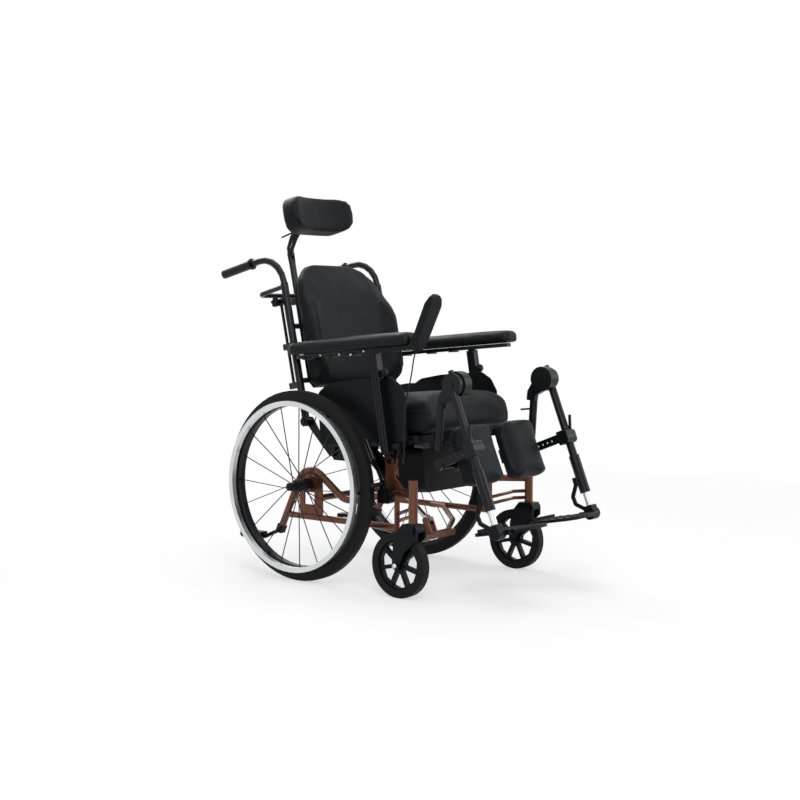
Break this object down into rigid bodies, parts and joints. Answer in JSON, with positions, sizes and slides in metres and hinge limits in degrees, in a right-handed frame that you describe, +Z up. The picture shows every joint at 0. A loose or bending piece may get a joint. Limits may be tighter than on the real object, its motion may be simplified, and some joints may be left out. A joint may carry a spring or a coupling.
{
  "type": "tilt in space wheelchair",
  "caption": "Wheelchair whose seat and backrest tilt together in a wheeled tube base, with recline, lifting armrests, raising legrests, headrest and handset.",
  "frame": {"origin": "on the floor, under the middle of the chair's length and width at rest", "axes": "+X to the user's left, +Y to the rear, the user faces -Y, +Z up"},
  "size_m": [0.698, 1.2099, 1.2584],
  "materials": {
    "frame_bronze": "metallic copper bronze paint, satin",
    "black_metal": "black powder coat, semi-gloss",
    "wheel_black": "black anodised rim and spokes",
    "tyre": "black moulded tyre, matt",
    "bright_metal": "bright anodised, satin",
    "black_plastic": "black moulded plastic, fine grain",
    "upholstery": "black stretch upholstery, soft sheen",
    "pad_skin": "black skinned foam, satin",
    "grip_black": "black tube with rubber grip",
    "key_grey": "grey keys",
    "cord_black": "black cord sheath"
  },
  "bodies": {
    "base": {"side_frame_left": "frame_bronze", "side_frame_right": "frame_bronze", "front_rail": "frame_bronze", "axle_housings": "black_metal", "tipping_steps": "black_plastic", "brake_mounts": "black_metal"},
    "seat": {"seat_frame": "black_metal", "seat_cushion": "upholstery", "side_panels": "black_plastic", "battery_box": "black_plastic", "control_box": "black_plastic", "handset_cord": "cord_black", "curly_cord": "cord_black"},
    "tilt_motor": {"tilt_actuator": "black_metal"},
    "tilt_ram": {"tilt_rod": "bright_metal"},
    "recline_tube": {"recline_strut": "black_metal"},
    "recline_ram": {"recline_rod": "bright_metal"},
    "back": {"back_frame": "black_metal", "back_shell": "black_plastic", "back_cushion": "upholstery"},
    "headrest_post": {"headrest_pole": "black_metal"},
    "headrest_arm": {"headrest_link": "black_metal"},
    "headrest": {"headrest_plate": "black_metal", "headrest_pad": "upholstery"},
    "arm_left": {"arm_frame_left": "black_metal", "arm_pad_left": "pad_skin"},
    "arm_right": {"arm_frame_right": "black_metal", "arm_pad_right": "pad_skin", "handset": "black_plastic"},
    "keys": {"handset_keys": "key_grey"},
    "wheel_left": {"rear_wheel_left": "wheel_black", "rear_tyre_left": "tyre", "handrim_left": "bright_metal"},
    "caster_left": {"caster_fork_left": "black_plastic"},
    "caster_roller_left": {"caster_wheel_left": "black_plastic", "caster_tyre_left": "tyre"},
    "brake_left": {"brake_lever_left": "black_metal"},
    "handle_left": {"push_handle_left": "grip_black"},
    "knob_left": {"star_knob_left": "black_plastic"},
    "hanger_left": {"leg_hanger_left": "black_metal"},
    "leg_left": {"leg_tube_left": "black_metal"},
    "calf_left": {"calf_pad_left": "upholstery"},
    "foot_left": {"foot_tube_left": "bright_metal"},
    "plate_left": {"footplate_left": "black_plastic"},
    "wheel_right": {"rear_wheel_right": "wheel_black", "rear_tyre_right": "tyre", "handrim_right": "bright_metal"},
    "caster_right": {"caster_fork_right": "black_plastic"},
    "caster_roller_right": {"caster_wheel_right": "black_plastic", "caster_tyre_right": "tyre"},
    "brake_right": {"brake_lever_right": "black_metal"},
    "handle_right": {"push_handle_right": "grip_black"},
    "knob_right": {"star_knob_right": "black_plastic"},
    "hanger_right": {"leg_hanger_right": "black_metal"},
    "leg_right": {"leg_tube_right": "black_metal"},
    "calf_right": {"calf_pad_right": "upholstery"},
    "foot_right": {"foot_tube_right": "bright_metal"},
    "plate_right": {"footplate_right": "black_plastic"}
  },
  "joints": [
    {"name": "seat_tilt", "type": "hinge", "parent": "base", "child": "seat", "pos_m": [0, -0.123, 0.4], "axis": [-1, 0, 0], "range_deg": [-4.7, 15]},
    {"name": "tilt_motor_pivot", "type": "hinge", "parent": "seat", "child": "tilt_motor", "pos_m": [0, 0.161, 0.398], "axis": [-1, 0, 0], "range_deg": [-30, 30]},
    {"name": "tilt_ram_slide", "type": "slide", "parent": "tilt_motor", "child": "tilt_ram", "axis": [0, -0.7665, -0.6423], "range_m": [-0.06, 0.04]},
    {"name": "back_recline", "type": "hinge", "parent": "seat", "child": "back", "pos_m": [0, 0.225, 0.505], "axis": [-1, 0, 0], "range_deg": [0, 22]},
    {"name": "recline_strut_pivot", "type": "hinge", "parent": "seat", "child": "recline_tube", "pos_m": [0.11, 0.00363, 0.41467], "axis": [-1, 0, 0], "range_deg": [-15, 15]},
    {"name": "recline_ram_slide", "type": "slide", "parent": "recline_tube", "child": "recline_ram", "axis": [0, 0.997, -0.0775], "range_m": [-0.07, 0.03]},
    {"name": "wheel_roll_left", "type": "hinge", "parent": "base", "child": "wheel_left", "pos_m": [0.301, 0.196, 0.305], "axis": [1, 0, 0], "continuous": true},
    {"name": "caster_swivel_left", "type": "hinge", "parent": "base", "child": "caster_left", "pos_m": [0.309, -0.276, 0.29], "axis": [0, 0, 1], "continuous": true},
    {"name": "caster_roll_left", "type": "hinge", "parent": "caster_left", "child": "caster_roller_left", "pos_m": [0.309, -0.227, 0.1], "axis": [1, 0, 0], "continuous": true},
    {"name": "brake_turn_left", "type": "hinge", "parent": "base", "child": "brake_left", "pos_m": [0.266, -0.13, 0.285], "axis": [-1, 0, 0], "range_deg": [0, 12]},
    {"name": "handle_height_left", "type": "slide", "parent": "back", "child": "handle_left", "axis": [0, 0.2096, 0.9778], "range_m": [0, 0.1]},
    {"name": "knob_turn_left", "type": "hinge", "parent": "back", "child": "knob_left", "pos_m": [0.262, 0.33839, 0.8908], "axis": [1, 0, 0], "continuous": true},
    {"name": "arm_height_left", "type": "slide", "parent": "seat", "child": "arm_left", "axis": [0, 0.1644, 0.9864], "range_m": [0, 0.08]},
    {"name": "leg_swing_left", "type": "hinge", "parent": "seat", "child": "hanger_left", "pos_m": [0.249, -0.3295, 0.515], "axis": [0, -0.0642, 0.9979], "range_deg": [0, 75]},
    {"name": "leg_raise_left", "type": "hinge", "parent": "hanger_left", "child": "leg_left", "pos_m": [0.249, -0.383, 0.645], "axis": [-1, 0, 0], "range_deg": [-8, 55]},
    {"name": "calf_turn_left", "type": "hinge", "parent": "leg_left", "child": "calf_left", "pos_m": [0.23, -0.32559, 0.40232], "axis": [1, 0, 0], "range_deg": [-10, 10]},
    {"name": "foot_length_left", "type": "slide", "parent": "leg_left", "child": "foot_left", "axis": [0, -0.3649, -0.9311], "range_m": [-0.04, 0.06]},
    {"name": "footplate_fold_left", "type": "hinge", "parent": "foot_left", "child": "plate_left", "pos_m": [0.234, -0.54902, 0.22137], "axis": [0, 0.9816, -0.1908], "range_deg": [0, 60]},
    {"name": "wheel_roll_right", "type": "hinge", "parent": "base", "child": "wheel_right", "pos_m": [-0.301, 0.196, 0.305], "axis": [1, 0, 0], "continuous": true},
    {"name": "caster_swivel_right", "type": "hinge", "parent": "base", "child": "caster_right", "pos_m": [-0.309, -0.276, 0.29], "axis": [0, 0, 1], "continuous": true},
    {"name": "caster_roll_right", "type": "hinge", "parent": "caster_right", "child": "caster_roller_right", "pos_m": [-0.309, -0.227, 0.1], "axis": [1, 0, 0], "continuous": true},
    {"name": "brake_turn_right", "type": "hinge", "parent": "base", "child": "brake_right", "pos_m": [-0.266, -0.13, 0.285], "axis": [-1, 0, 0], "range_deg": [0, 12]},
    {"name": "handle_height_right", "type": "slide", "parent": "back", "child": "handle_right", "axis": [0, 0.2096, 0.9778], "range_m": [0, 0.1]},
    {"name": "knob_turn_right", "type": "hinge", "parent": "back", "child": "knob_right", "pos_m": [-0.262, 0.33839, 0.8908], "axis": [1, 0, 0], "continuous": true},
    {"name": "arm_height_right", "type": "slide", "parent": "seat", "child": "arm_right", "axis": [0, 0.1644, 0.9864], "range_m": [0, 0.08]},
    {"name": "leg_swing_right", "type": "hinge", "parent": "seat", "child": "hanger_right", "pos_m": [-0.249, -0.3295, 0.515], "axis": [0, 0.0642, -0.9979], "range_deg": [0, 75]},
    {"name": "leg_raise_right", "type": "hinge", "parent": "hanger_right", "child": "leg_right", "pos_m": [-0.249, -0.383, 0.645], "axis": [-1, 0, 0], "range_deg": [-8, 55]},
    {"name": "calf_turn_right", "type": "hinge", "parent": "leg_right", "child": "calf_right", "pos_m": [-0.23, -0.32559, 0.40232], "axis": [1, 0, 0], "range_deg": [-10, 10]},
    {"name": "foot_length_right", "type": "slide", "parent": "leg_right", "child": "foot_right", "axis": [0, -0.3649, -0.9311], "range_m": [-0.04, 0.06]},
    {"name": "footplate_fold_right", "type": "hinge", "parent": "foot_right", "child": "plate_right", "pos_m": [-0.234, -0.54902, 0.22137], "axis": [0, -0.9816, 0.1908], "range_deg": [0, 60]},
    {"name": "headrest_height", "type": "slide", "parent": "back", "child": "headrest_post", "axis": [0, 0.2096, 0.9778], "range_m": [-0.02, 0.08]},
    {"name": "headrest_link_turn", "type": "hinge", "parent": "headrest_post", "child": "headrest_arm", "pos_m": [0, 0.51567, 1.05939], "axis": [-1, 0, 0], "range_deg": [-8, 25]},
    {"name": "headrest_turn", "type": "hinge", "parent": "headrest_arm", "child": "headrest", "pos_m": [0, 0.47698, 1.14132], "axis": [-1, 0, 0], "range_deg": [-12, 20]},
    {"name": "key_press", "type": "slide", "parent": "arm_right", "child": "keys", "axis": [0, -0.9063, -0.4226], "range_m": [0, 0.001], "stiffness_N_per_m": 1500}
  ],
  "couplings": [
    {"joint": "tilt_motor_pivot", "follows": "seat_tilt", "ratio": -0.32707},
    {"joint": "tilt_ram_slide", "follows": "seat_tilt", "m_per_rad": -0.1903},
    {"joint": "recline_strut_pivot", "follows": "back_recline", "ratio": -0.08568},
    {"joint": "recline_ram_slide", "follows": "back_recline", "m_per_rad": -0.10507}
  ]
}
